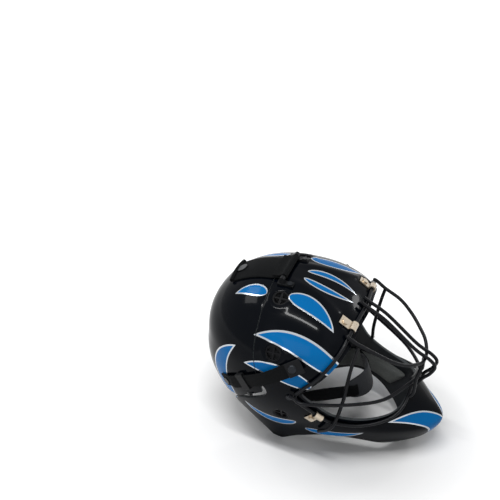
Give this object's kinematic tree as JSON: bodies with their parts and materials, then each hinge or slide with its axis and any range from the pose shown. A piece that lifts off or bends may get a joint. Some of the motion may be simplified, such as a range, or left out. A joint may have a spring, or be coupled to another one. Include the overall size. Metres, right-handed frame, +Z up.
{
  "type": "hockey goalie mask",
  "caption": "Hockey goalie mask: glossy black moulded shell with blue licks, a welded black wire cage, nickel clips, foam lining, chin cup and a hinged back plate on straps.",
  "frame": {"origin": "in the mask's mid plane on the surface it stands on, below the middle of the head", "axes": "+X towards the wearer's left, -Y towards the front, +Z up"},
  "size_m": [0.2434, 0.3369, 0.2506],
  "materials": {
    "shell": "gloss black lacquer with blue licks edged in silver",
    "cage": "satin black powder coat",
    "vent": "moulded matt black",
    "clip": "nickel plated, slightly warm",
    "bolt": "bright",
    "foam": "closed cell foam with a knitted face",
    "jaw_foam": "light grey closed cell foam",
    "cup": "moulded black foam with a fabric face",
    "webbing": "woven elastic",
    "buckle": "moulded satin black"
  },
  "bodies": {
    "root": {"shell": "shell", "vent_grilles": "vent", "cage_frame": "cage", "cage_centre_bars": "cage", "cage_brow_bow": "cage", "cage_uprights": "cage", "cage_cheek_bow": "cage", "cage_nose_arch": "cage", "brow_clips": "clip", "jaw_clips": "clip", "clip_screws": "bolt", "clip_nuts": "bolt", "forehead_pad": "foam", "crown_pad": "foam", "temple_pad_right": "foam", "temple_pad_left": "foam", "cheek_pad_right": "jaw_foam", "cheek_pad_left": "jaw_foam", "chin_pad": "jaw_foam", "chin_cup": "cup", "cup_strap_right": "webbing", "cup_strap_left": "webbing", "cup_rivets": "bolt", "top_loop": "buckle", "loop_screws": "bolt", "side_studs": "bolt"},
    "back": {"back_plate": "shell", "back_pad": "foam", "top_strap": "webbing", "top_snap": "bolt", "side_strap_right": "webbing", "side_strap_left": "webbing", "side_tabs": "buckle", "side_snaps": "bolt", "strap_rivets": "bolt"},
    "slider_right": {"slider_right": "buckle"},
    "slider_left": {"slider_left": "buckle"}
  },
  "joints": [
    {"name": "back_plate_hinge", "type": "hinge", "parent": "root", "child": "back", "pos_m": [0, 0.05757, 0.24625], "axis": [1, 0, 0], "range_deg": [0, 6]},
    {"name": "slider_right_slide", "type": "slide", "parent": "back", "child": "slider_right", "axis": [0.2825, 0.7887, -0.546], "range_m": [-0.007, 0.007]},
    {"name": "slider_left_slide", "type": "slide", "parent": "back", "child": "slider_left", "axis": [-0.2825, 0.7887, -0.546], "range_m": [-0.007, 0.007]}
  ]
}
